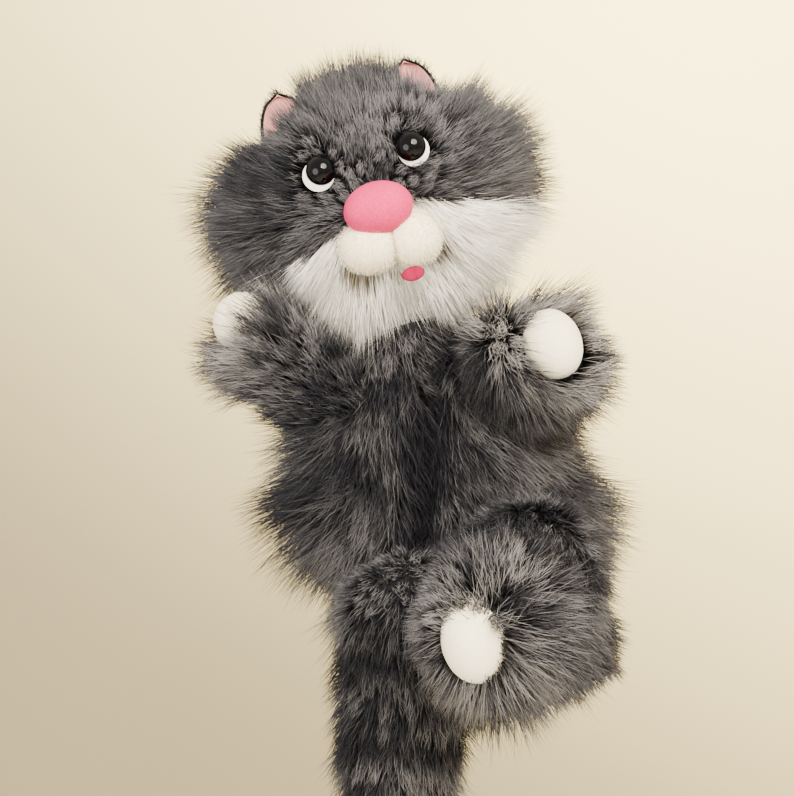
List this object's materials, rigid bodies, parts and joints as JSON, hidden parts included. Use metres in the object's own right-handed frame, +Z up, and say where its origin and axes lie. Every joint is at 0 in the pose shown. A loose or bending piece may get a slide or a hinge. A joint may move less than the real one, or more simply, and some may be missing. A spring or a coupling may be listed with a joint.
{
  "type": "cat hand puppet",
  "caption": "Long-pile cat glove puppet with a fluffy head, bead eyes, stuffed muzzle, felt paws and swinging legs, worn on a hand.",
  "frame": {"origin": "centre of the hand opening at the glove's hem", "axes": "+Z up the glove from the hand opening to the head, -Y the way the face looks, -X the cat's own right side"},
  "size_m": [0.1409, 0.1839, 0.2977],
  "materials": {
    "grey_fur": "long-pile faux fur, grey with dark tips",
    "white_fur": "long-pile faux fur, off-white",
    "lining_cotton": "plain cotton",
    "wadding": "polyester wadding",
    "ear_pink": "short plush",
    "eye_white": "polished",
    "pupil_black": "polished",
    "nose_pink": "flocked",
    "fleece_cream": "soft fleece",
    "tongue_red": "felt",
    "felt_cream": "needle felt"
  },
  "bodies": {
    "glove": {"body_front_panel": "grey_fur", "body_back_panel": "grey_fur", "lining_front": "lining_cotton", "lining_back": "lining_cotton", "cuff_hem_front": "grey_fur", "cuff_hem_back": "grey_fur", "neck_collar": "grey_fur", "hip_seam_right": "grey_fur", "hip_seam_left": "grey_fur"},
    "neck_turn": {"neck_ring": "lining_cotton"},
    "neck_tilt": {"neck_band": "lining_cotton"},
    "head": {"head_crown_panel": "grey_fur", "head_back_panel": "grey_fur", "head_beard_panel": "white_fur", "head_wadding": "wadding", "finger_tube": "lining_cotton", "neck_ball": "wadding", "ear_right": "grey_fur", "ear_left": "grey_fur", "ear_lining_right": "ear_pink", "ear_lining_left": "ear_pink", "eye_white_right": "eye_white", "eye_white_left": "eye_white", "pupil_right": "pupil_black", "pupil_left": "pupil_black", "eye_stem_right": "eye_white", "eye_stem_left": "eye_white", "nose": "nose_pink", "muzzle_pad_right": "fleece_cream", "muzzle_pad_left": "fleece_cream", "muzzle_wadding_right": "wadding", "muzzle_wadding_left": "wadding", "tongue": "tongue_red"},
    "armhole_right": {"armhole_facing_right": "lining_cotton"},
    "armhole_left": {"armhole_facing_left": "lining_cotton"},
    "arm_right": {"sleeve_right": "grey_fur", "finger_pocket_right": "lining_cotton", "paw_right": "felt_cream", "paw_wadding_right": "wadding"},
    "arm_left": {"sleeve_left": "grey_fur", "finger_pocket_left": "lining_cotton", "paw_left": "felt_cream", "paw_wadding_left": "wadding"},
    "leg_right": {"leg_right": "grey_fur", "leg_wadding_right": "wadding", "toe_right": "felt_cream", "toe_wadding_right": "wadding"},
    "leg_left": {"leg_left": "grey_fur", "leg_wadding_left": "wadding", "toe_left": "felt_cream", "toe_wadding_left": "wadding"}
  },
  "joints": [
    {"name": "head_turn", "type": "hinge", "parent": "glove", "child": "neck_turn", "pos_m": [0, 0, 0.152], "axis": [0, 0, 1], "range_deg": [-40, 40]},
    {"name": "head_tilt", "type": "hinge", "parent": "neck_turn", "child": "neck_tilt", "pos_m": [0, 0, 0.152], "axis": [0, 1, 0], "range_deg": [-12, 12]},
    {"name": "head_nod", "type": "hinge", "parent": "neck_tilt", "child": "head", "pos_m": [0, 0, 0.152], "axis": [1, 0, 0], "range_deg": [-20, 12]},
    {"name": "arm_right_swing", "type": "hinge", "parent": "glove", "child": "armhole_right", "pos_m": [-0.038, -0.008, 0.136], "axis": [0, 0, 1], "range_deg": [-25, 40]},
    {"name": "arm_right_raise", "type": "hinge", "parent": "armhole_right", "child": "arm_right", "pos_m": [-0.038, -0.008, 0.136], "axis": [-0.5138, 0.8579, 0], "range_deg": [-60, 6]},
    {"name": "arm_left_swing", "type": "hinge", "parent": "glove", "child": "armhole_left", "pos_m": [0.036, -0.008, 0.121], "axis": [0, 0, -1], "range_deg": [-45, 8]},
    {"name": "arm_left_raise", "type": "hinge", "parent": "armhole_left", "child": "arm_left", "pos_m": [0.036, -0.008, 0.121], "axis": [-0.953, -0.3028, 0], "range_deg": [-15, 10]},
    {"name": "leg_right_swing", "type": "hinge", "parent": "glove", "child": "leg_right", "pos_m": [-0.03, -0.06, 0.052], "axis": [-1, 0, 0], "range_deg": [0, 85]},
    {"name": "leg_left_swing", "type": "hinge", "parent": "glove", "child": "leg_left", "pos_m": [0.02, -0.063, 0.058], "axis": [-1, 0, 0], "range_deg": [-70, 12]}
  ]
}
